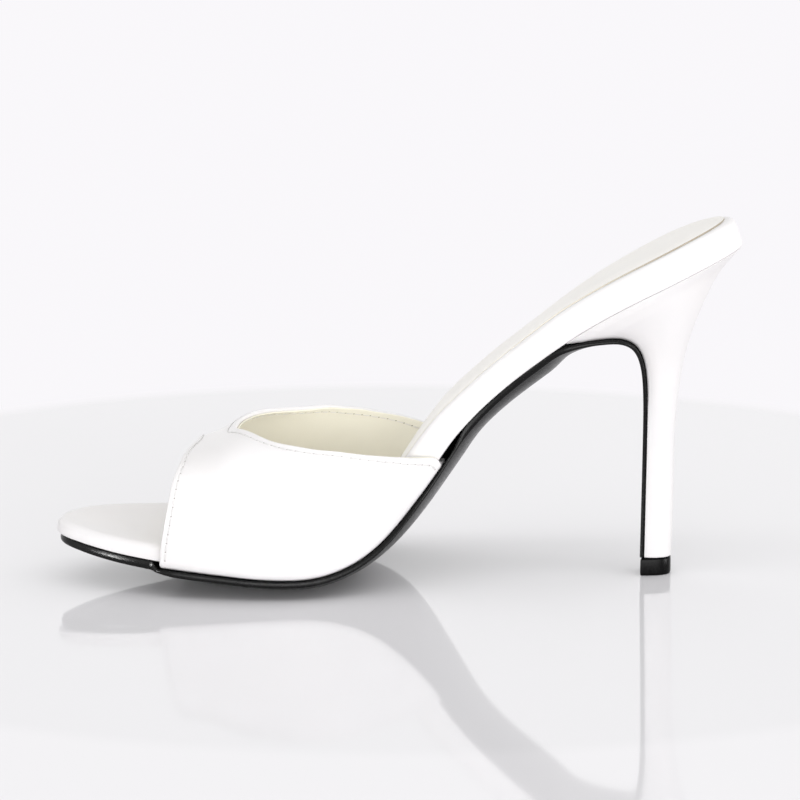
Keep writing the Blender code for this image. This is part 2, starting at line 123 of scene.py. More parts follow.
BREAST = (
    (189.0, 31.0, 0.18, 3.1, 20.2, 0.0),
    (193.0, 19.0, 0.18, 2.5, 20.3, 0.0),
    (198.0, 11.0, 0.18, 1.9, 20.0, 0.0),
    (204.5, 4.0, 0.17, 1.2, 19.3, 0.0),
    (208.3, -4.0, 0.16, 0.8, 18.2, 0.0),
    (212.3, -28.0, 0.15, 0.5, 16.6, 0.0),
    (216.3, -58.0, 0.14, 0.3, 14.6, 0.0),
    (220.3, -76.0, 0.14, 0.1, 12.4, 0.0),
    (226.1, -85.5, 0.14, 0.0, 9.6, 0.0),
    (233.9, -89.5, 0.14, 0.0, 7.6, 0.0),
    (244.7, -91.0, 0.14, 0.0, 6.2, 0.0),
    (260.5, -91.0, 0.14, 0.0, 5.3, 0.0),
    (297.0, -90.8, 0.14, 0.0, 4.9, 0.0),
)
BOARD = table(
    "along thick",
    (0, 5.0), (40, 5.4), (80, 6.2), (108, 7.6), (122, 8.8), (134, 9.1), (146, 8.7),
    (160, 8.1), (178, 8.2), (200, 8.8), (254, 9.2),
)
# level of the board's underside: pressed down on the sole's edge from the vamp on back
BOARD_UNDER = table("along level", (0, 0.3), (28, 0.1), (45, -0.2), (254, -0.2))
# the sock's cut edge: how much of it stands bare under its soft shoulder
SOCK_LIP = table("along lip", (62, 0.12), (165, 0.15), (200, 0.4), (254, 0.5))
OUTSOLE = table(
    "along edge belly outset rebate",
    (0, 2.4, 0.6, -1.7, 0.0),
    (15, 2.6, 0.8, -1.0, 0.0),
    (33.5, 2.9, 1.3, -0.5, 0.0),
    (36.4, 3.4, 1.6, 1.2, 2.1),
    (42, 4.0, 2.3, 1.8, 2.1),
    (60, 4.0, 3.1, 1.8, 2.1),
    (82, 4.0, 3.2, 1.8, 2.1),
    (94, 3.9, 2.2, 1.8, 2.1),
    (106, 3.8, 1.5, 1.8, 2.1),
    (125, 3.4, 1.9, 1.6, 2.1),
    (140, 2.9, 2.4, 1.0, 2.0),
    (152, 2.3, 2.7, -0.2, 0.0),
    (165, 2.1, 3.2, -0.3, 0.0),
    (180, 2.1, 3.6, -0.3, 0.0),
    (190, 1.9, 2.6, -0.3, 0.0),
    (204, 1.3, 1.2, -0.3, 0.0),
    (220, 1.1, 0.4, -0.6, 0.0),
    (294, 1.2, 0.1, -0.6, 0.0),
)
VAMP = table(
    "along crown square fall swell",
    (36, 40.2, 4.2, 2.1, 1.0),
    (45, 42.0, 3.9, 1.8, 1.0),
    (50, 43.2, 3.7, 1.3, 1.0),
    (54, 44.8, 3.5, 0.7, 1.0),
    (58, 47.1, 3.3, 0.3, 1.0),
    (62, 48.8, 3.1, 0.2, 1.0),
    (67, 50.2, 3.0, 0.2, 1.0),
    (74, 52.1, 3.1, 0.2, 1.0),
    (84, 57.0, 3.2, 0.2, 1.5),
    (94, 62.0, 3.2, 0.0, 2.2),
    (106, 66.0, 3.2, 0.0, 3.4),
    (120, 69.0, 3.2, 0.0, 4.0),
    (142, 72.0, 3.2, 0.0, 1.0),
)
VAMP_EDGES = table(
    "angle medial_front lateral_front medial_top lateral_top",
    (0, 36.8, 36.9, 136.0, 133.0),
    (2, 37.2, 37.4, 133.3, 130.0),
    (6, 37.9, 38.3, 127.8, 124.5),
    (11, 38.5, 39.0, 121.4, 118.0),
    (21, 39.4, 39.9, 109.4, 105.9),
    (31, 40.0, 40.7, 97.0, 94.1),
    (41, 40.5, 41.5, 86.0, 86.0),
    (51, 41.3, 42.4, 77.8, 78.2),
    (62, 42.0, 43.3, 69.6, 69.0),
    (75, 42.5, 44.1, 62.8, 60.8),
    (84, 43.2, 44.5, 59.2, 57.9),
    (88, 44.0, 44.6, 58.0, 57.7),
    (90, 44.6, 44.6, 57.7, 57.7),
)
HEEL_BACK = table(
    "height back",
    (5.7, 4.9), (14.0, 5.2), (30.0, 5.4), (44.0, 5.6), (56.0, 6.5), (63.0, 7.3), (69.5, 8.4),
    (76.0, 10.1), (82.5, 12.3), (89.0, 15.0), (95.0, 17.9), (99.5, 20.8), (103.5, 24.6),
)
HEEL_SECTIONS = table(
    "front back seat",
    (198.5, 100.5, 0.89),
    (203.0, 96.5, 0.76),
    (207.5, 92.0, 0.62),
    (211.5, 87.0, 0.48),
    (215.5, 81.5, 0.34),
    (219.5, 76.0, 0.22),
    (224.5, 70.0, 0.12),
    (231.5, 62.5, 0.05),
    (239.5, 54.0, 0.02),
    (249.5, 43.0, 0.0),
    (286.2, 5.7, 0.0),
)
# how far the stem draws in at the breast, by its width, against the breast's station
BREAST_DRAW = table("front share", (198, 0.14), (228, 0.14), (246, 0.05), (287, 0.03))


def smooth(at, rows, name):
    """Cubic curve through a table's first and named columns that never overshoots a row."""
    stations, values = rows[next(iter(rows))], rows[name]
    at = np.clip(np.asarray(at, float), stations[0], stations[-1])
    step = np.diff(stations)
    rise = np.diff(values) / step
    slope = np.zeros(len(values))
    slope[0], slope[-1] = rise[0], rise[-1]
    same = rise[:-1] * rise[1:] > 0
    blend = 2 * rise[:-1] * rise[1:] / np.where(same, rise[:-1] + rise[1:], 1.0)
    slope[1:-1] = np.where(same, blend, 0.0)
    row = np.clip(np.searchsorted(stations, at, side="right") - 1, 0, len(step) - 1)
    t = (at - stations[row]) / step[row]
    before, after = values[row], values[row + 1]
    return (before * (1 + 2 * t) * (1 - t) ** 2 + after * t * t * (3 - 2 * t)
            + step[row] * (slope[row] * t * (1 - t) ** 2 - slope[row + 1] * t * t * (1 - t)))


def running(steps):
    """Running sum of the steps along the last axis, from nought."""
    start = np.zeros(steps.shape[:-1] + (1,))
    return np.concatenate([start, np.cumsum(steps, axis=-1)], axis=-1)


def distance_along(path):
    """Distance of each point of a path, or of each of many paths, from the path's start."""
    return running(np.linalg.norm(np.diff(path, axis=-2), axis=-1))


def read_off(where, run, path):
    """Points of a path at those distances along it."""
    return np.stack([np.interp(where, run, values) for values in path.T], axis=-1)


def unit(vectors):
    return vectors / np.maximum(np.linalg.norm(vectors, axis=-1, keepdims=True), 1e-9)


class SoleLine:
    """The underside of the insole board in side view, with its sections' width and slant.

    X and Z are the running sums of the cosine and sine of the pitch along the length.
    """

    def __init__(self, rows):
        self.rows = table(SOLE_COLUMNS, *rows)
        self.fine = np.arange(0.0, self.rows["along"][-1] + STATION_STEP, STATION_STEP)
        self.pitch = np.radians(self.column("pitch", self.fine))
        mid = 0.5 * (self.pitch[1:] + self.pitch[:-1])
        step = np.diff(self.fine)
        self.x = TOE_X + running(step * np.cos(mid))
        self.z = TOE_HEIGHT + running(step * np.sin(mid))

    def column(self, name, along):
        return smooth(along, self.rows, name)

    def half_width(self, along, inset):
        """Half the outline's width drawn in by inset: an ellipse over the toe's length."""
        half = self.column("half", along) - inset
        toe = np.clip((TOE_ROUND - along) / (TOE_ROUND - inset), 0.0, 1.0)
        return half * np.sqrt(1.0 - toe ** 2)

    def point(self, along, across, level):
        """The line's point, moved level square to the line, with its edges curved up."""
        along, across, level = np.broadcast_arrays(along, across, level)
        pitch = np.interp(along, self.fine, self.pitch)
        half = np.maximum(self.column("half", along), 1.0)
        lift = self.column("camber", along) * ((across - self.column("centre", along)) / half) ** 2
        x = np.interp(along, self.fine, self.x) - level * np.sin(pitch)
        x = x + self.column("slant", along) * across
        z = np.interp(along, self.fine, self.z) + level * np.cos(pitch) + lift
        return np.stack([x, across, z], axis=-1)


class BoardLine(SoleLine):
    """The same line up to the heel seat, where the outline rounds off as an ellipse again."""

    def half_width(self, along, inset):
        seat_start = BOARD_LENGTH - HEEL_ROUND
        back = np.clip((along - seat_start) / (HEEL_ROUND - inset), 0.0, 1.0)
        return super().half_width(along, inset) * np.sqrt(1.0 - back ** 2)


board_line = BoardLine(FOREPART + SEAT)
outsole_line = SoleLine(FOREPART + BREAST)


# ---------------------------------------------------------------- meshes

def ring_quads(rows, columns):
    """Corner numbers of the quads between closed rings, one ring a row."""
    r, c = np.meshgrid(np.arange(rows - 1), np.arange(columns), indexing="ij")
    after = (c + 1) % columns
    quads = np.stack([r * columns + c, r * columns + after,
                      (r + 1) * columns + after, (r + 1) * columns + c], axis=-1)
    return quads.reshape(-1, 4).tolist()


def strip_cap(first, count):
    """Quads across a ring of count points that runs out on one side and back on the other."""
    i = np.arange(count // 2 - 1)
    return (first + np.stack([i, i + 1, count - 2 - i, count - 1 - i], axis=-1)).tolist()


def tube_faces(points, first=False, last=False):
    """Faces of a tube of closed rings, with one face over its first or last ring if asked."""
    rows, count = points.shape[:2]
    faces = ring_quads(rows, count)
    if first:
        faces.append(list(range(count)))
    if last:
        faces.append(list(range((rows - 1) * count, rows * count)))
    return faces


def stack_faces(points):
    """Faces of stacked rings that run out on one side and back on the other, closed by strips."""
    rows, count = points.shape[:2]
    faces = ring_quads(rows, count)
    return faces + strip_cap(0, count) + strip_cap((rows - 1) * count, count)


def place_in_scene(obj):
    bpy.context.scene.collection.objects.link(obj)
    return obj


def make_piece(name, points, faces, materials, node=None, maps=None, finishes=None):
    """Mesh piece in metres in the shoe's frame, closed, with its faces outward.

    maps holds UV maps by name, given point by point; finishes is each face's material number.
    """
    points = (np.asarray(points, float).reshape(-1, 3) + SHOE_SHIFT) * MM
    mesh = bpy.data.meshes.new(name)
    mesh.from_pydata(points.tolist(), [], faces)
    corners = np.zeros(len(mesh.loops), np.int32)
    mesh.loops.foreach_get("vertex_index", corners)
    for map_name, values in (maps or {}).items():
        layer = mesh.uv_layers.new(name=map_name)
        flat = np.asarray(values, float).reshape(-1, 2)[corners]
        layer.uv.foreach_set("vector", flat.ravel().astype(np.float32))
    for material in materials:
        mesh.materials.append(material)
    if finishes is not None:
        mesh.polygons.foreach_set("material_index", np.asarray(finishes, np.int32))
    bm = bmesh.new()
    bm.from_mesh(mesh)
    bmesh.ops.remove_doubles(bm, verts=bm.verts, dist=MERGE_M)
    bmesh.ops.dissolve_degenerate(bm, edges=bm.edges, dist=SLIVER_M)
    bmesh.ops.recalc_face_normals(bm, faces=bm.faces)
    bm.to_mesh(mesh)
    bm.free()
    mesh.shade_smooth()
    mesh.set_sharp_from_angle(angle=math.radians(SHARP_ANGLE))
    obj = place_in_scene(bpy.data.objects.new(name, mesh))
    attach(obj, "root")
    if node:
        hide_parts(node)


def ease(start, end, count, round_start, round_end):
    """Stations from start to end, packed towards an end that rounds off."""
    t = np.linspace(0.0, 1.0, count)
    if round_start and round_end:
        t = 0.5 - 0.5 * np.cos(math.pi * t)
    elif round_start:
        t = 1.0 - np.cos(0.5 * math.pi * t)
    elif round_end:
        t = np.sin(0.5 * math.pi * t)
    return start + (end - start) * t


def plate_points(line, lines_across, stations, floor=False):
    """Points of a plate that follows a sole line, stations by lines round its section.

    Each line is (place, inset, level): place from -1 to 1 across the outline drawn in by
    inset, and inset and level functions of the station.
    """
    tries = 12              # more than enough for a line's first station to settle
    columns = []
    for place, inset, level in lines_across:
        start = 0.0
        for _ in range(tries):
            start = float(inset(start))
        along = stations(start)
        across = line.column("centre", along) + place * line.half_width(along, inset(along))
        columns.append(line.point(along, across, level(along)))
    points = np.stack(columns, axis=1)
    if floor:
        points[..., 2] = np.maximum(points[..., 2], 0.0)
    return points


def column_of(rows, name):
    """A table's column as a function of the station."""
    return lambda along: smooth(along, rows, name)


def fixed(value):
    """The same value at every station."""
    return lambda along: np.full(np.shape(along), float(value))


def quarter(radius, steps):
    """Run in from the side and drop of each point of a rounded corner, from its top on."""
    turn = np.radians(np.linspace(0, 90, steps))
    return list(zip(radius * (1 - np.sin(turn)), radius * (1 - np.cos(turn))))


def mirrored(side):
    """The same lines on the other side, in the order that carries on round the section."""
    return [(-place, inset, level) for place, inset, level in side[::-1]]


# ---------------------------------------------------------------- finishes

def set_inputs(tree, node, **inputs):
    """Sets inputs, by name or as i and a number, to a value, a tint or another's socket."""
    for key, value in inputs.items():
        by_number = key[0] == "i" and key[1:].isdigit()
        socket = node.inputs[int(key[1:]) if by_number else key.replace("_", " ")]
        if isinstance(value, bpy.types.NodeSocket):
            tree.links.new(value, socket)
        elif socket.type == "RGBA":
            socket.default_value = (*value, 1.0)
        else:
            socket.default_value = value


def add_node(tree, kind, settings=None, **inputs):
    """A shader node of that kind, with its settings and its inputs."""
    made = tree.nodes.new(f"ShaderNode{kind}")
    for key, value in (settings or {}).items():
        setattr(made, key, value)
    set_inputs(tree, made, **inputs)
    return made


def math_node(tree, operation, a, b=0.0, c=0.0):
    """Result of one math step."""
    return add_node(tree, "Math", {"operation": operation}, i0=a, i1=b, i2=c).outputs[0]


def ramp(tree, value, start, end, low=0.0, high=1.0, soft=True):
    """Low up to start, high from end on, and a smooth step or an even ramp between them."""
    made = add_node(tree, "MapRange", {"interpolation_type": "SMOOTHSTEP" if soft else "LINEAR"},
                    Value=value, From_Min=start, From_Max=end, To_Min=low, To_Max=high)
    return made.outputs[0]


def noise(tree, where, scale, detail, roughness=0.5):
    """Noise from 0 to 1."""
    return add_node(tree, "TexNoise", Vector=where, Scale=scale, Detail=detail,
                    Roughness=roughness).outputs["Fac"]


def mix(tree, share, first, second):
    """The first tint turned into the second by share."""
    return add_node(tree, "MixRGB", Fac=share, Color1=first, Color2=second).outputs[0]


def relief(tree, height, distance):
    """Normals of a height, in metres for one unit of it."""
    return add_node(tree, "Bump", Height=height, Distance=distance).outputs[0]


def split_axes(tree, vector):
    """The three parts of a vector."""
    return add_node(tree, "SeparateXYZ", Vector=vector).outputs


def object_place(tree):
    """Place on the object, in metres."""
    return add_node(tree, "TexCoord").outputs["Object"]


def map_place(tree, name):
    """Place in one of the piece's own maps."""
    return add_node(tree, "UVMap", {"uv_map": name}).outputs["UV"]


FLOAT, COLOUR, VECTOR = "NodeSocketFloat", "NodeSocketColor", "NodeSocketVector"


def new_group(name, inputs, outputs):
    """An empty shader group with named sockets, its input sockets and its output node."""
    tree = bpy.data.node_groups.new(name, "ShaderNodeTree")
    for socket, kind, value in inputs:
        made = tree.interface.new_socket(socket, in_out="INPUT", socket_type=kind)
        if value is not None:
            made.default_value = value
    for socket, kind in outputs:
        tree.interface.new_socket(socket, in_out="OUTPUT", socket_type=kind)
    return tree, tree.nodes.new("NodeGroupInput").outputs, tree.nodes.new("NodeGroupOutput")


def build_grain_group():
    """Pebbled grain: domed cells with shaken edges, fine pores over them and a broad tone."""
    tree, enter, leave = new_group(
        "pebbled grain",
        [("Coordinate", VECTOR, None), ("Cells", FLOAT, 1600.0), ("Pores", FLOAT, 0.3)],
        [("Height", FLOAT), ("Tone", FLOAT)])
    where = enter["Coordinate"]
    warp = add_node(tree, "TexNoise", Vector=where, Scale=260.0, Detail=2.0)
    shaken = add_node(tree, "MixRGB", {"blend_type": "LINEAR_LIGHT"}, Fac=0.0016,
                      Color1=where, Color2=warp.outputs["Color"])
    cells = add_node(tree, "TexVoronoi", {"feature": "DISTANCE_TO_EDGE"},
                     Vector=shaken.outputs[0], Scale=enter["Cells"])
    dome = ramp(tree, cells.outputs["Distance"], 0.0, 0.22)
    pores = math_node(tree, "MULTIPLY", noise(tree, where, 5200.0, 3.0, 0.6), enter["Pores"])
    set_inputs(tree, leave, Height=math_node(tree, "ADD", dome, pores),
               Tone=noise(tree, where, 42.0, 4.0, 0.55))
    return tree


def build_needle_group():
    """Needle holes: dark spots of painted shade one pitch apart along a seam, and the pull round
    each one.

    The seam's map gives stitches along it and millimetres from its line.
    """
    tree, enter, leave = new_group(
        "needle holes",
        [("Seam", VECTOR, None), ("Radius", FLOAT, 0.26), ("Pitch", FLOAT, STITCH_PITCH)],
        [("Hole", FLOAT), ("Pull", FLOAT)])
    along, off, _ = split_axes(tree, enter["Seam"])
    near = math_node(tree, "WRAP", along, 0.5, -0.5)
    run = math_node(tree, "MULTIPLY", near, enter["Pitch"])
    reach = math_node(tree, "SQRT", math_node(
        tree, "ADD", math_node(tree, "MULTIPLY", run, run), math_node(tree, "MULTIPLY", off, off)))
    share = math_node(tree, "DIVIDE", reach, enter["Radius"])
    set_inputs(tree, leave, Hole=ramp(tree, share, 1.15, 0.6), Pull=ramp(tree, share, 3.2, 0.6))
    return tree


def build_soil_group():
    """Handling marks: a broad drift between two tints."""
    tree, enter, leave = new_group(
        "handling marks",
        [("Coordinate", VECTOR, None), ("Clean", COLOUR, None), ("Handled", COLOUR, None),
         ("Amount", FLOAT, 0.5)],
        [("Color", COLOUR)])
    where = enter["Coordinate"]
    drift = ramp(tree, noise(tree, where, 28.0, 5.0, 0.6), 0.35, 0.75, soft=False)
    amount = math_node(tree, "MULTIPLY", drift, enter["Amount"])
    set_inputs(tree, leave, Color=mix(tree, amount, enter["Clean"], enter["Handled"]))
    return tree


grain_group = build_grain_group()
needle_group = build_needle_group()
soil_group = build_soil_group()


def new_material(name, **shader_values):
    """A material with plain values on its shader, its tree and the shader."""
    material = bpy.data.materials.new(name)
    material.use_nodes = True
    tree = material.node_tree
    shader = tree.nodes["Principled BSDF"]
    set_inputs(tree, shader, **shader_values)
    return material, tree, shader


def use_group(tree, group, **inputs):
    """A group placed in a material with its own values."""
    return add_node(tree, "Group", {"node_tree": group}, **inputs).outputs


def leather_finish(name, clean, handled, roughness, cells, depth, seams=(), coat=0.0, pores=0.3,
                   hole_shade_tint=(0.46, 0.44, 0.41)):
    """Coated leather: drifting tint, pebbled grain, uneven gloss and needle holes with painted
    shade in them.
    """
    material, tree, shader = new_material(name, Coat_Weight=coat, Coat_Roughness=0.25)
    where = object_place(tree)
    tint = use_group(tree, soil_group, Coordinate=where, Clean=clean, Handled=handled,
                     Amount=0.5)["Color"]
    grain = use_group(tree, grain_group, Coordinate=where, Cells=cells, Pores=pores)
    height = math_node(tree, "MULTIPLY", grain["Height"], depth)
    for seam in seams:
        needle = use_group(tree, needle_group, Seam=map_place(tree, seam))
        # painted shade in each needle hole
        tint = mix(tree, needle["Hole"], tint, hole_shade_tint)
        for effect, drop in (("Pull", -0.05), ("Hole", -0.10)):
            height = math_node(tree, "ADD", height,
                               math_node(tree, "MULTIPLY", needle[effect], drop))
    gloss = ramp(tree, grain["Tone"], 0.3, 0.7, roughness - 0.05, roughness + 0.06, soft=False)
    set_inputs(tree, shader, Base_Color=tint, Roughness=gloss, Normal=relief(tree, height, MM))
    return material


def black_finish(name, base, roughness, index, streaks, depth):
    """Black sole or top lift: fine speckle, faint streaks along it and uneven gloss."""
    material, tree, shader = new_material(name, IOR=index)
    where = object_place(tree)
    tint = use_group(tree, soil_group, Coordinate=where, Clean=(base, base, base * 1.05),
                     Handled=(base * 2.2, base * 2.1, base * 2.0), Amount=0.6)["Color"]
    stretched = add_node(tree, "Mapping", Vector=where, Scale=streaks)
    fine = noise(tree, stretched.outputs[0], 900.0, 5.0, 0.65)
    gloss = ramp(tree, fine, 0.3, 0.75, roughness - 0.06, roughness + 0.12, soft=False)
    set_inputs(tree, shader, Base_Color=tint, Roughness=gloss,
               Normal=relief(tree, fine, depth * MM))
    return material


def cut_edge_and_shade_finish(name, waist, seat):
    """Raw cut edge: fibrous, paler at the waist than round the seat, where its darker tint is
    partly the edge's own tone and partly painted shade of the line between sock and board.
    """
    material, tree, shader = new_material(name, Roughness=0.8)
    where = object_place(tree)
    # darker towards the seat: partly the edge's own tone, partly painted shade
    shade_to_seat = ramp(tree, split_axes(tree, where)["X"], 0.04, 0.085)
    set_inputs(tree, shader, Base_Color=mix(tree, shade_to_seat, waist, seat),
               Normal=relief(tree, noise(tree, where, 2600.0, 3.0), 0.04 * MM))
    return material


def thread_finish(name, base):
    """Twisted thread: fine slanting ply lines in the piece's own map, darker between the plies as
    painted shade.
    """
    material, tree, shader = new_material(name, Roughness=0.6, Sheen_Weight=0.2)
    ply = add_node(tree, "TexWave", {"bands_direction": "DIAGONAL"},
                   Vector=map_place(tree, "thread"), Scale=2.4, Distortion=0.4).outputs["Fac"]
    # painted shade in the grooves between the plies
    shade_between_plies = tuple(0.9 * value for value in base)
    set_inputs(tree, shader, Base_Color=mix(tree, ply, shade_between_plies, base),
               Normal=relief(tree, ply, 0.05 * MM))
    return material


WHITE = (0.86, 0.845, 0.85)
WARM_WHITE = (0.83, 0.80, 0.785)
SEAM_NAMES = ("front_seam", "topline_seam")
vamp_leather = leather_finish("white_vamp_leather", WHITE, WARM_WHITE, 0.36, 1700.0, 0.012,
                              SEAM_NAMES, coat=0.1)
vamp_lining = leather_finish("cream_lining", (0.93, 0.90, 0.77), (0.89, 0.855, 0.715), 0.55,
                             1300.0, 0.010, SEAM_NAMES, pores=0.6,
                             hole_shade_tint=(0.25, 0.21, 0.14))
# the board's white is a little darker than the vamp's: painted shade for the toe's top under the
# vamp
board_wrap = leather_finish("white_board_wrap", (0.84, 0.825, 0.83), WARM_WHITE, 0.42, 1700.0,
                            0.010)
sock_top = leather_finish("cream_sock", (0.905, 0.885, 0.855), (0.88, 0.855, 0.815), 0.55, 2300.0,
                          0.008, pores=0.7)
# the sock's cut edge, whose darker seat tint is partly painted shade of the line between sock and
# board
sock_edge_and_shade = cut_edge_and_shade_finish("sock_cut_edge", (0.84, 0.79, 0.69), (0.40, 0.35, 0.27))
# the heel's white is darker than the vamp's: a shaded copy of the leather that paints shade on the
# whole heel
heel_wrap = leather_finish("white_heel_wrap", (0.765, 0.75, 0.755), WARM_WHITE, 0.34, 1700.0,
                           0.008, coat=0.1)
outsole_black = black_finish("black_outsole", 0.003, 0.25, 1.28, (0.25, 1.0, 1.0), 0.02)
tip_black = black_finish("black_top_lift", 0.003, 0.25, 1.18, (1.0, 1.0, 0.2), 0.012)
white_thread = thread_finish("white_thread", (0.88, 0.87, 0.86))
cream_thread = thread_finish("cream_thread", (0.90, 0.87, 0.80))


# ---------------------------------------------------------------- sole, board and sock

def make_outsole():
    """Sole sheet: top with a rebate, a softly convex edge and a rounded belly underneath.

    The belly hangs under the lower edge by depth times one less the cube of its place across.
    """
    edge, belly, outset, rebate = (column_of(OUTSOLE, name)
                                   for name in ("edge", "belly", "outset", "rebate"))

    def outline(further):
        return lambda along: further - outset(along)

    def inner_line(further, limit):
        """Inset of a line on the sole's top, held back where the flap is narrow."""
        return lambda along: np.minimum(outline(further)(along),
                                        limit * outsole_line.column("half", along))

    def on_rebate(drop):
        return lambda along: -GAP - rebate(along) - drop

    def on_side(share):
        return lambda along: -GAP - rebate(along) * (1 - share) - edge(along) * share

    def over_edge(rise):
        return lambda along: -GAP - edge(along) + rise

    def under(place):
        return lambda along: -GAP - edge(along) - belly(along) * (1.0 - abs(place) ** 3)

    rim = MARGIN_WIDTH + LEATHER_OUT + 2 * GAP
    top_round, low_round = 0.22, 0.55
    side = [(1.0, outline(run), on_rebate(drop)) for run, drop in quarter(top_round, 4)]
    for share, bulge in ((0.3, -0.10), (0.5, -0.14), (0.7, -0.10)):
        side.append((1.0, outline(bulge), on_side(share)))
    for run, drop in quarter(low_round, 5)[::-1]:
        side.append((1.0, outline(run), over_edge(drop)))
    rim_line = inner_line(rim, FLAP_RIM)
    step_line = inner_line(rim + RIM_SLOPE, FLAP_STEP)
    raised = [(place, step_line, fixed(-GAP)) for place in (-1.0, -0.5, 0.0, 0.5, 1.0)]
    top = [(-1.0, rim_line, on_rebate(0.0)), *raised, (1.0, rim_line, on_rebate(0.0))]
    tread = [(place, outline(low_round), under(place))
             for place in np.sin(np.radians(np.linspace(84, -84, 27)))]

    def stations(start):
        """Close together at the toe, over the step behind it and round the top of the breast."""
        return np.concatenate([
            ease(start, 28.0, 26, True, False), np.arange(29.0, 43.0, 0.75),
            np.linspace(44.0, 185.0, 84), np.linspace(186.0, 230.0, 60),
            np.linspace(231.5, FLAP_END, 30)])

    points = plate_points(outsole_line, top + side + tread + mirrored(side), stations, floor=True)
    make_piece("outsole_sheet", points, tube_faces(points, last=True), [outsole_black],
               "outsole")


board_thick = column_of(BOARD, "thick")
board_under = column_of(BOARD_UNDER, "level")


def over_board(rise):
    """Level over the board's top."""
    return lambda along: board_thick(along) + rise


def make_board():
    """Board wrapped in leather: small radius under, soft radius over, a little crown on top."""
    def on_side(share):
        return lambda along: board_thick(along) * share

    def over_under(rise):
        return lambda along: board_under(along) + rise

    low_round, top_round = 0.4, 2.5
    crown, bulge = 0.12, -0.05
    side = [(1.0, fixed(run), over_under(drop)) for run, drop in quarter(low_round, 4)]
    side += [(1.0, fixed(bulge), on_side(share)) for share in (0.3, 0.45, 0.6)]
    side += [(1.0, fixed(run), over_board(-drop))
             for run, drop in quarter(top_round, 9)[::-1]]
    over = [(place, fixed(top_round), over_board(crown * (1 - place ** 2)))
            for place in np.linspace(0.92, -0.92, 25)]
    under = [(place, fixed(low_round), over_under(0.0)) for place in np.linspace(-0.9, 0.9, 11)]
    points = plate_points(
        board_line, under + side + over + mirrored(side),
        lambda start: ease(start, BOARD_LENGTH - start, 190, True, True))
    make_piece("board_wrap", points, tube_faces(points), [board_wrap], "insole_board")


def make_sock():
    """Sock with a thin cut edge, drawn in from the board's edge.

    Its shoulder slopes up to the full thickness along a parabola that ends level.
    """
    shoulder = 5.0

    def shoulder_level(height):
        def level(along):
            lip = smooth(along, SOCK_LIP, "lip")
            return board_thick(along) + lip + (GAP + SOCK_THICKNESS - lip) * height
        return level

    under = [(place, fixed(SOCK_INSET), over_board(0.02)) for place in np.linspace(-1, 1, 9)]
    side = [(1.0, fixed(SOCK_INSET + shoulder * run), shoulder_level(1.0 - (1.0 - run) ** 2))
            for run in np.linspace(0.0, 1.0, 9)]
    over = [(place, fixed(SOCK_INSET + shoulder), over_board(GAP + SOCK_THICKNESS))
            for place in np.linspace(0.96, -0.96, 25)]
    points = plate_points(
        board_line, under + side + over + mirrored(side),
        lambda start: ease(SOCK_START, BOARD_LENGTH - start, 150, False, True))
    rows, count = points.shape[:2]
    finishes = np.zeros((rows - 1, count), int)
    # the faces of the bare cut edge take the edge finish, with its painted shade round the seat
    finishes[:, [len(under) - 1, count - 1]] = 1
    make_piece("sock_liner_sheet", points, tube_faces(points, first=True),
               [sock_top, sock_edge_and_shade], "sock_liner", finishes=[*finishes.ravel(), 0])


# ---------------------------------------------------------------- vamp

def vamp_arch(along, angle, side):
    """Half width share and height share of the squared arch at an angle from the feather."""
    square = smooth(along, VAMP, "square")
    if side > 0:
        square = square - smooth(along, VAMP, "fall")
    turn = math.radians(angle)
    return np.cos(turn) ** (2 / square) * (angle < 90), np.sin(turn) ** (2 / square)


def vamp_point(along, angle, side):
    """Inside of the vamp: half width times cosine power, height times sine power."""
    share, rise = vamp_arch(along, angle, side)
    half = board_line.half_width(along, -GAP)
    swell = smooth(along, VAMP, "swell") * np.sin(math.pi * rise)
    across = board_line.column("centre", along) + side * (half * share + swell)
    edge = board_line.column("centre", along) + side * half
    foot = board_line.point(along, edge, -GAP)
    x = foot[:, 0] + board_line.column("slant", along) * (across - edge)
    crown = smooth(along, VAMP, "crown")
    return np.stack([x, across, foot[:, 2] + (crown - foot[:, 2]) * rise], axis=-1)


def vamp_reach(angle, side):
    """Stations of the front edge and of the topline on the row at an angle."""
    name = "medial" if side < 0 else "lateral"
    return tuple(float(smooth(angle, VAMP_EDGES, name + end)) for end in ("_front", "_top"))


ARCH_SQUARE = 3.2           # a middle section's arch, which spaces the rows of every section
ARCH_HALF = 33.0
ARCH_HEIGHT = 38.0
ARCH_ROWS = 76
ROW_POINTS = 500
MARGIN_STEPS = (9.0, 6.0, 3.0, 1.2, 0.4)    # rows of the margin, by their distance in
ZONE_SHARE = 0.46           # an edge's fine zone takes at most this share of a row


def arch_angles():
    """Angles from the feather to the crown, evenly spaced along a middle section's arch."""
    angle = np.concatenate([[0.0], np.geomspace(0.02, 45.0, 400),
                            90.0 - np.geomspace(45.0, 0.02, 400)[1:], [90.0]])
    turn = np.radians(angle)
    across = ARCH_HALF * np.cos(turn) ** (2 / ARCH_SQUARE)
    rise = ARCH_HEIGHT * np.sin(turn) ** (2 / ARCH_SQUARE)
    run = running(np.hypot(np.diff(across), np.diff(rise)))
    return np.interp(np.linspace(0.0, run[-1], ARCH_ROWS), run, angle)


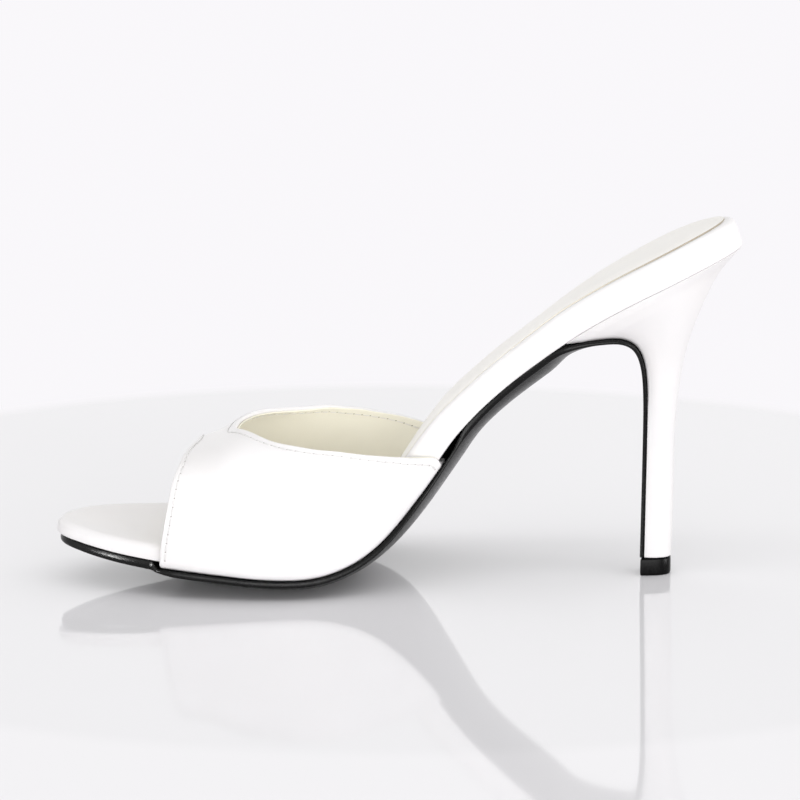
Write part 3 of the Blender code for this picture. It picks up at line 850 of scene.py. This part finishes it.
def vamp_rows():
    """Fine rows from margin to margin over the crown.

    Gives each row's points, even in station from front edge to topline, and one for wall or
    nought for margin.
    """
    angles = arch_angles()
    medial, lateral = [], []
    for side, rows in ((-1, medial), (1, lateral)):
        along = np.linspace(*vamp_reach(0.0, side), ROW_POINTS)
        for inset in MARGIN_STEPS:
            across = board_line.column("centre", along) + side * (
                board_line.half_width(along, -GAP) - inset)
            rows.append((board_line.point(along, across, -GAP), 0.0))
        for angle in angles:
            along = np.linspace(*vamp_reach(angle, side), ROW_POINTS)
            rows.append((vamp_point(along, angle, side), 0.0 if angle == 0 else 1.0))
    rows = medial + lateral[-2::-1]
    return np.array([points for points, _ in rows]), np.array([wall for _, wall in rows])


def resample(curves, distances):
    """Points of each curve at those distances along it, one row of distances a curve."""
    return np.array([read_off(*row) for row in zip(distances, distance_along(curves), curves)])


vamp_curves, vamp_wall = vamp_rows()
wall_rows = np.flatnonzero(vamp_wall > 0)


class VampGrid:
    """Grid over the vamp's inside from front edge to topline, with outward normals.

    Columns lie at fixed distances from each edge, and evenly between these two zones.
    """

    def __init__(self, start, zone, middle):
        total = distance_along(vamp_curves)[:, -1]
        fit = np.minimum(1.0, (ZONE_SHARE * total - start) / zone[-1])[:, None]
        from_front = start + zone * fit
        from_top = total[:, None] - from_front[:, ::-1]
        share = np.linspace(0.0, 1.0, middle + 2)[1:-1]
        between = from_front[:, -1:] + share * (from_top[:, :1] - from_front[:, -1:])
        self.front = np.concatenate([from_front, between, from_top], axis=1)
        self.top = total[:, None] - self.front
        self.points = resample(vamp_curves, self.front)
        rowwise = np.gradient(self.points, axis=0)
        columnwise = np.gradient(self.points, axis=1)
        self.normals = unit(np.cross(columnwise, rowwise))
        crown = self.normals[len(vamp_curves) // 2, self.front.shape[1] // 2]
        if crown[2] < 0:
            self.normals = -self.normals
        self.forward = unit(columnwise)

    def shell(self, inside, outside, depth, edge_steps):
        """Closed ring of points for each row: outside, topline, inside and front edge.

        inside and outside are offsets along the normals, one a row, and depth is taken off
        the outside, point by point.
        """
        inside, outside = inside[:, None, None], outside[:, None, None]
        outer = self.points + self.normals * (outside - depth[..., None])
        inner = self.points + self.normals * inside
        rings = [outer, *self.edge(outer, inner, -1, 1.0, edge_steps), inner[:, ::-1],
                 *self.edge(inner, outer, 0, -1.0, edge_steps)]
        return np.concatenate(rings, axis=1)

    def edge(self, start, end, column, sign, steps):
        """Half round from start to end on the edge column: cosine across, sine outward."""
        turn = np.radians(np.linspace(0, 180, steps + 2))[1:-1][None, :, None]
        middle = 0.5 * (start[:, column] + end[:, column])[:, None]
        half = 0.5 * (start[:, column] - end[:, column])[:, None]
        out = sign * self.forward[:, column][:, None] * np.linalg.norm(
            half, axis=2, keepdims=True)
        return [middle + np.cos(turn) * half + np.sin(turn) * out]

    def from_edge(self, from_top):
        """Distance of each point from the topline or the front edge."""
        return self.top if from_top else self.front

    def at(self, distance, from_top):
        """Points and normals of each row at a distance from the topline or the front edge."""
        order = -1 if from_top else 1
        runs = self.from_edge(from_top)
        points, normals = (np.array([read_off(distance, run[::order], row[::order])
                                     for run, row in zip(runs, values)])
                           for values in (self.points, self.normals))
        return points, unit(normals)


EDGE_RADIUS = 0.5 * (LEATHER_OUT - LEATHER_IN)
leather_grid = VampGrid(EDGE_RADIUS, np.arange(0, 4.3, 0.28), 62)
lining_grid = VampGrid(LINING_BACK, np.array((0.0, 0.35, 0.7, 1.1, 1.5, 2.0, 2.6, 3.3)), 34)


class Seam:
    """One row of stitching: its run along the edge and its even division into stitches."""

    def __init__(self, name, from_top, inset):
        self.name, self.from_top, self.inset = name, from_top, inset
        self.inner, self.normals = leather_grid.at(inset, from_top)
        self.outer = self.inner + self.normals * (LEATHER_OUT - SEAM_DEPTH)
        run = distance_along(self.outer)
        run = run - run[wall_rows[0]]
        length = run[wall_rows[-1]]
        self.count = round(length / STITCH_PITCH)
        self.turns = run / length * self.count

    def map(self, grid, ring_columns):
        """The seam's map on a grid's closed rings: stitches along it, distance from its line."""
        distance = grid.from_edge(self.from_top)
        extra = (ring_columns - 2 * distance.shape[1]) // 2
        last = np.repeat(distance[:, -1:], extra, axis=1)
        first = np.repeat(distance[:, :1], extra, axis=1)
        v = np.concatenate([distance, last, distance[:, ::-1], first], axis=1) - self.inset
        u = np.repeat(self.turns[:, None], v.shape[1], axis=1)
        return np.stack([u, v], axis=-1)


seams = (Seam(SEAM_NAMES[0], False, FRONT_SEAM_IN), Seam(SEAM_NAMES[1], True, TOPLINE_SEAM_IN))


def seam_maps(grid, points):
    """Both seams' maps on a grid's closed rings of points."""
    return {seam.name: seam.map(grid, points.shape[1]) for seam in seams}


# soft troughs and ridges of the leather: from a place to a place, given as run back from the
# front edge and girth from the crown, medial negative, with their half width and depth
CREASES = (
    ((14.0, -20.0), (30.0, -48.0), 2.8, 0.16),
    ((20.0, -22.0), (38.0, -50.0), 3.2, -0.10),
    ((28.0, -27.0), (48.0, -54.0), 3.0, 0.13),
    ((7.0, -9.0), (10.0, 14.0), 2.2, 0.10),
    ((16.0, 21.0), (28.0, 47.0), 2.8, 0.18),
    ((23.0, 24.0), (35.0, 50.0), 3.2, -0.10),
    ((30.0, 28.0), (45.0, 54.0), 3.0, 0.14),
    ((4.0, -30.0), (9.0, -54.0), 3.4, 0.09),
)
WAVINESS = 0.05             # depth of a slow swell of the leather, and its length a radian
WAVE_ALONG = 7.0
WAVE_ROUND = 9.0


def bell(distance, width):
    """Bell curve of a distance: one on the line, and little more than a third a width off."""
    return np.exp(-(distance / width) ** 2)


def creases(grid):
    """Depth of the creases, and a slow waviness, at each point of the grid.

    A crease is a bell curve of the distance from its line, faded out towards both ends by the
    fourth power of the place along it.
    """
    girth = distance_along(vamp_curves[:, 0])
    girth = (girth - girth[len(vamp_curves) // 2])[:, None] + 0.0 * grid.front
    depth = WAVINESS * np.sin(grid.front / WAVE_ALONG + 0.6) * np.cos(girth / WAVE_ROUND + 1.1)
    for (run, across), (to_run, to_across), width, deep in CREASES:
        ahead, aside = to_run - run, to_across - across
        share = ((grid.front - run) * ahead + (girth - across) * aside) / (
            ahead ** 2 + aside ** 2)
        share = np.clip(share, 0.0, 1.0)
        away = np.hypot(grid.front - run - share * ahead, girth - across - share * aside)
        depth += deep * (1 - (2 * share - 1) ** 4) * bell(away, width)
    return depth


def make_vamp_leather():
    """Outer leather with folded edges, drawn down along both seams.

    The draw is a bell curve of the distance from the seam, and the fold stands a little proud.
    """
    draw_width = 0.42
    fold_rise, fold_middle, fold_width = 0.05, 0.9, 0.5
    grid = leather_grid
    depth = creases(grid)
    for seam in seams:
        distance = grid.from_edge(seam.from_top)
        depth += SEAM_DEPTH * bell(distance - seam.inset, draw_width)
        depth -= fold_rise * bell(distance - fold_middle, fold_width)
    depth *= vamp_wall[:, None]
    inside = np.where(vamp_wall > 0, LEATHER_IN, 0.0)
    outside = np.where(vamp_wall > 0, LEATHER_OUT, MARGIN_OUT)
    points = grid.shell(inside, outside, depth, 6)
    make_piece("vamp_leather", points, tube_faces(points, True, True), [vamp_leather],
               "upper", maps=seam_maps(grid, points))


def make_vamp_lining():
    """Thin lining inside the leather, cut short of the folded edges."""
    grid = lining_grid
    wall = slice(wall_rows[0], wall_rows[-1] + 1)
    inside = np.zeros(len(grid.points))
    outside = np.full(len(grid.points), LINING_OUT)
    points = grid.shell(inside, outside, np.zeros(grid.front.shape), 3)
    maps = {name: values[wall] for name, values in seam_maps(grid, points).items()}
    points = points[wall]
    make_piece("vamp_lining", points, tube_faces(points, True, True), [vamp_lining],
               maps=maps)


def make_stitches(name, seam, path, normals, material, width, sink):
    """A row of stitches: each a thread arched from hole to hole.

    Its rise is one less the fourth power of its place along it, its section is an ellipse, and
    it thins out to both ends by the root of one less the sixth power.
    """
    rings, around = 9, 10
    height_share = 0.36
    end_sink = 0.22
    end_reach = 0.985
    along = np.linspace(-1.0, 1.0, rings)
    turn = np.linspace(0.0, 2 * math.pi, around, endpoint=False)
    middle = np.arange(seam.count) + 0.5
    where = middle[:, None] + along * (0.5 * STITCH_LENGTH / STITCH_PITCH)
    centre = read_off(where, seam.turns, path)
    up = unit(read_off(where, seam.turns, normals))
    ahead = unit(np.gradient(centre, axis=1))
    across = unit(np.cross(up, ahead))
    rise = 0.5 * width * (1.0 - along ** 4) - sink - end_sink * along ** 8
    centre = centre + up * rise[None, :, None]
    radius = np.sqrt(np.clip(1.0 - (along * end_reach) ** 6, 0.0, 1.0))[None, :, None, None]
    ring = (np.cos(turn)[:, None] * across[:, :, None, :] * 0.5 * width
            + np.sin(turn)[:, None] * up[:, :, None, :] * height_share * width)
    points = centre[:, :, None, :] + ring * radius
    first = np.arange(seam.count)[:, None, None] * rings * around
    quads = np.array(ring_quads(rings, around))
    ends = np.stack([np.arange(around), (rings - 1) * around + np.arange(around)])
    faces = (first + quads).reshape(-1, 4).tolist() + (first + ends).reshape(-1, around).tolist()
    u = np.broadcast_to(along[None, :, None] * 0.5 * STITCH_LENGTH, points.shape[:3])
    v = np.broadcast_to(turn[None, None, :] / (2 * math.pi), points.shape[:3])
    make_piece(name, points, faces, [material],
               maps={"thread": np.stack([u, v], axis=-1)})


# ---------------------------------------------------------------- heel

SECTION_POWER = 2.6
SECTION_POINTS = 36
section_places = np.sin(np.linspace(0.0, 0.5 * math.pi, SECTION_POINTS))


def section_round(share):
    """Half width along a heel section: straight sides and a rounded back."""
    return (1.0 - share ** SECTION_POWER) ** (1 / SECTION_POWER)


def ring_both_sides(x, centre, half, z, slant):
    """Closed ring from the front corner round the back, slanted across."""
    across = np.concatenate([centre - half, (centre + half)[::-1]])
    x, z, slant = (np.concatenate([out, out[::-1]])
                   for out in np.broadcast_arrays(x, z, slant))
    return np.stack([x + slant * across, across, z], axis=-1)


def seat_outline(draw):
    """Stations from the nose to the back of the seat, drawn in, and their half widths."""
    along = NOSE + section_places * (BOARD_LENGTH - SEAT_INSET - draw - NOSE)
    half = board_line.half_width(along, SEAT_INSET + draw)
    half[-1] = 0.0
    return along, half


def make_heel():
    """Wrapped stiletto: sections that fan out from the tip to the seat, edges eased.

    A section mixes a straight-sided round with the seat's outline by the section's share. It
    draws in at the breast by the square of what is left of the breast's reach.
    """
    share = section_places
    eased_corner = 0.97
    over_flap = 0.05
    corner = np.where(share > 0, 1.0, eased_corner)
    seat_along, seat_half = seat_outline(0.0)
    seat_centre = board_line.column("centre", seat_along)
    seat_line = board_line.point(seat_along, 0.0, -GAP)
    chord = seat_line[0] + share[:, None] * (seat_line[-1] - seat_line[0])
    at_breast = np.clip(1 - share / BREAST_REACH, 0.0, 1.0) ** 2
    fronts = np.concatenate([np.linspace(285.0, 232.0, 45), np.linspace(231.0, 198.6, 70)])
    sections = [(FLAP_END, 0.5, 0.0), (FLAP_END, 0.24, 0.08), (FLAP_END, 0.08, 0.24),
                (FLAP_END, 0.0, 0.5), *((front, 0.0, 0.0) for front in fronts)]
    rings = []
    for front, draw, rise in sections:
        back = float(smooth(front, HEEL_SECTIONS, "back"))
        seat = float(smooth(front, HEEL_SECTIONS, "seat"))
        start = outsole_line.point(front, 0.0, over_flap)
        end = np.array([float(smooth(back, HEEL_BACK, "back")), 0.0, back])
        spine = start + share[:, None] * (end - start) + seat * (seat_line - chord)
        drawn_in = float(smooth(front, BREAST_DRAW, "share")) * at_breast
        half = float(outsole_line.column("half", front)) * corner * (
            (1 - seat) * (section_round(share) - drawn_in) + seat * seat_half / seat_half[0])
        centre = (1 - seat) * float(outsole_line.column("centre", front)) + seat * seat_centre
        rings.append(ring_both_sides(
            spine[:, 0] - draw * share, centre, np.maximum(half - draw * (half > 0), 0.0),
            spine[:, 2] + rise, float(outsole_line.column("slant", front))))
    for draw, drop in ((0.0, 0.3), (0.1, 0.1), (0.3, 0.0)):
        along, half = seat_outline(draw)
        centre = board_line.column("centre", along)
        slant = board_line.column("slant", along)
        top = board_line.point(along, centre, -GAP - drop)
        rings.append(ring_both_sides(top[:, 0] - slant * centre, centre, half * corner,
                                     top[:, 2], slant))
    points = np.array(rings)
    make_piece("heel_cover", points, stack_faces(points), [heel_wrap], "heel")


def make_heel_tip():
    """Top lift: the heel's section, straight, with its rims rounded."""
    rings = []
    for height, draw in ((0.0, 0.6), (0.05, 0.38), (0.2, 0.16), (0.45, 0.04), (0.9, 0.0),
                         (3.0, 0.0), (TIP_HEIGHT - 0.25, 0.05), (TIP_HEIGHT - 0.07, 0.12),
                         (TIP_HEIGHT, 0.3)):
        length = TIP_BACK - TIP_FRONT - 2 * draw
        half = (TIP_HALF - draw) * section_round(section_places)
        rings.append(ring_both_sides(TIP_FRONT + draw + section_places * length, 0.0, half,
                                     height, TIP_SLANT))
    points = np.array(rings)
    make_piece("top_lift", points, stack_faces(points), [tip_black], "heel_tip")


make_outsole()
make_board()
make_sock()
make_vamp_leather()
make_vamp_lining()
for seam in seams:
    for face, path, normals, thread, width, sink in (
            ("outside", seam.outer, seam.normals, white_thread, 0.42, 0.06),
            ("inside", seam.inner, -seam.normals, cream_thread, 0.40, 0.05)):
        make_stitches(f"{seam.name}_{face}", seam, path, normals, thread, width, sink)
make_heel()
make_heel_tip()


# ---------------------------------------------------------------- stage, light and camera

FLOOR_REACH = 3.0
MATTE_BEHIND = 0.1          # the floor outside the plate is matte from here back
FLOOR_TINT = (0.789, 0.779, 0.798)
GROUND_TINT = (0.95, 0.935, 0.96)
PLATE_MIDDLE = (0.0, 0.033, 0.0)
PLATE_RADIUS = 0.240
RIM_OUT, RIM_IN = 0.012, 0.004      # the rim's fade, outside and inside that radius
PLATE_TINT = (0.75, 0.742, 0.76)
PLATE_GLOW = 0.07           # the plate and floor are lit a little from beneath
GLOW_TINT = (1.0, 0.985, 1.01)
CONTACT_SHADOW_MIDDLE = (-0.045, -0.012, 0.0)
CONTACT_SHADOW_RADIUS = 0.026        # the glow fades out round the tread: a painted contact shadow under the sole
CONTACT_SHADOW_SOFTNESS = 0.016
EVEN_LIGHT = 0.74
HORIZON_SHARE = 1.14        # the even light at the horizon and straight above
TOP_SHARE = 0.85
WALL_LIGHT = 0.34           # light of the wall behind over the even light, and at its foot
WALL_FOOT_LIGHT = 0.38
SIDE_LIGHT = 0.16           # and of both sides over the even light
WALL_SPREAD = (0.3, 0.7)    # where each starts and is full, by the view's part back, up or aside
WALL_TOP = (0.6, 0.4)
WALL_FOOT = (0.27, 0.21)
SIDE_SPREAD = (0.35, 0.9)
BACKDROP_TINT = (0.955, 0.94, 0.96)
LENS = 261.0
CAMERA_PLACE = (0.0003, -1.7932, 0.4534)
CAMERA_TILT = 77.5


def distance_from(tree, where, middle):
    """Distance of a place from a middle."""
    return add_node(tree, "VectorMath", {"operation": "DISTANCE"},
                    i0=where, i1=middle).outputs["Value"]


def make_floor():
    """Glossy pale floor with a round plate in it; behind the plate it turns matte and white.

    The plate's rim and the light from beneath are smooth steps of the distance from a middle; the
    light from beneath fades out round the tread, a painted contact shadow under the sole.
    """
    corners = [(x * FLOOR_REACH, y * FLOOR_REACH, 0) for x, y in
               ((-1, -1), (1, -1), (1, 1), (-1, 1))]
    mesh = bpy.data.meshes.new("studio_floor")
    mesh.from_pydata(corners, [], [(0, 1, 2, 3)])
    material, tree, shader = new_material(
        "glossy_plate", Roughness=0.045, IOR=1.31, Emission_Color=GLOW_TINT)
    where = object_place(tree)
    on_plate = ramp(tree, distance_from(tree, where, PLATE_MIDDLE), PLATE_RADIUS + RIM_OUT,
                    PLATE_RADIUS - RIM_IN)
    # painted contact shadow: no glow round the tread's middle
    glow = ramp(tree, distance_from(tree, where, CONTACT_SHADOW_MIDDLE), CONTACT_SHADOW_RADIUS,
                CONTACT_SHADOW_RADIUS + CONTACT_SHADOW_SOFTNESS, 0.0, PLATE_GLOW)
    set_inputs(tree, shader, Base_Color=mix(tree, on_plate, FLOOR_TINT, PLATE_TINT),
               Emission_Strength=glow)
    in_front = ramp(tree, split_axes(tree, where)["Y"], MATTE_BEHIND, -MATTE_BEHIND)
    glossy = math_node(tree, "MAXIMUM", on_plate, in_front)
    white = add_node(tree, "Emission", Color=GROUND_TINT, Strength=1.0)
    both = add_node(tree, "MixShader", Fac=glossy, i1=white.outputs[0],
                    i2=shader.outputs[0])
    set_inputs(tree, tree.nodes["Material Output"], Surface=both.outputs[0])
    mesh.materials.append(material)
    place_in_scene(bpy.data.objects.new("studio_floor", mesh))


def add_area_light(name, place, target, size, power):
    """Soft oblong light at place, turned to target."""
    data = bpy.data.lights.new(name, "AREA")
    data.shape = "RECTANGLE"
    data.size, data.size_y = size
    data.energy = power
    lamp = place_in_scene(bpy.data.objects.new(name, data))
    lamp.location = place
    away = Vector(np.subtract(place, target))
    lamp.rotation_euler = away.to_track_quat("Z", "Y").to_euler()
    return lamp


def make_world():
    """Even light from all round, and a white wall behind the shoe, brighter at its foot."""
    world = bpy.data.worlds.new("studio")
    world.use_nodes = True
    tree = world.node_tree
    tree.nodes.clear()
    x, y, z = split_axes(tree, add_node(tree, "TexCoord").outputs["Generated"])
    behind = ramp(tree, y, *WALL_SPREAD, soft=False)
    low = ramp(tree, z, *WALL_TOP, soft=False)
    foot = ramp(tree, z, *WALL_FOOT, WALL_LIGHT, WALL_FOOT_LIGHT)
    wall = math_node(tree, "MULTIPLY", math_node(tree, "MULTIPLY", behind, low), foot)
    aside = math_node(tree, "ABSOLUTE", x)
    side = ramp(tree, aside, *SIDE_SPREAD, 0.0, SIDE_LIGHT, soft=False)
    even = ramp(tree, z, 0.0, 1.0, EVEN_LIGHT * HORIZON_SHARE, EVEN_LIGHT * TOP_SHARE, soft=False)
    level = math_node(tree, "ADD", math_node(tree, "ADD", wall, side), even)
    light = add_node(tree, "Background", Color=(1.0, 1.0, 1.0), Strength=level)
    backdrop = add_node(tree, "Background", Color=BACKDROP_TINT, Strength=1.0)
    path = add_node(tree, "LightPath")
    both = add_node(tree, "MixShader", Fac=path.outputs["Is Camera Ray"],
                    i1=light.outputs[0], i2=backdrop.outputs[0])
    add_node(tree, "OutputWorld", Surface=both.outputs[0])
    bpy.context.scene.world = world


def make_camera():
    """Long lens nearly level with the shoe, square to its medial side."""
    data = bpy.data.cameras.new("camera")
    data.sensor_width = 36.0
    data.lens = LENS
    camera = place_in_scene(bpy.data.objects.new("camera", data))
    camera.location = CAMERA_PLACE
    camera.rotation_euler = (math.radians(CAMERA_TILT), 0.0, 0.0)
    bpy.context.scene.camera = camera


make_floor()
make_world()
add_area_light("front_softbox", (0.7, -3.4, 0.5), (0.0, 0.0, 0.05), (4.0, 0.8), 70.0)
add_area_light("overhead_strip", (0.0, -0.7, 2.4), (0.0, 0.05, 0.0), (4.5, 0.6), 11.0)
add_area_light("heel_side_card", (1.5, -0.4, 0.06), (0.09, 0.0, 0.08), (0.7, 0.1), 3.6)
toe_card = add_area_light("toe_highlight_card", (-1.6, -1.0, 0.1), (-0.1, -0.02, 0.015),
                          (0.5, 0.16), 20.0)
toe_card.visible_diffuse = False
make_camera()
bpy.context.scene.view_settings.view_transform = "Standard"
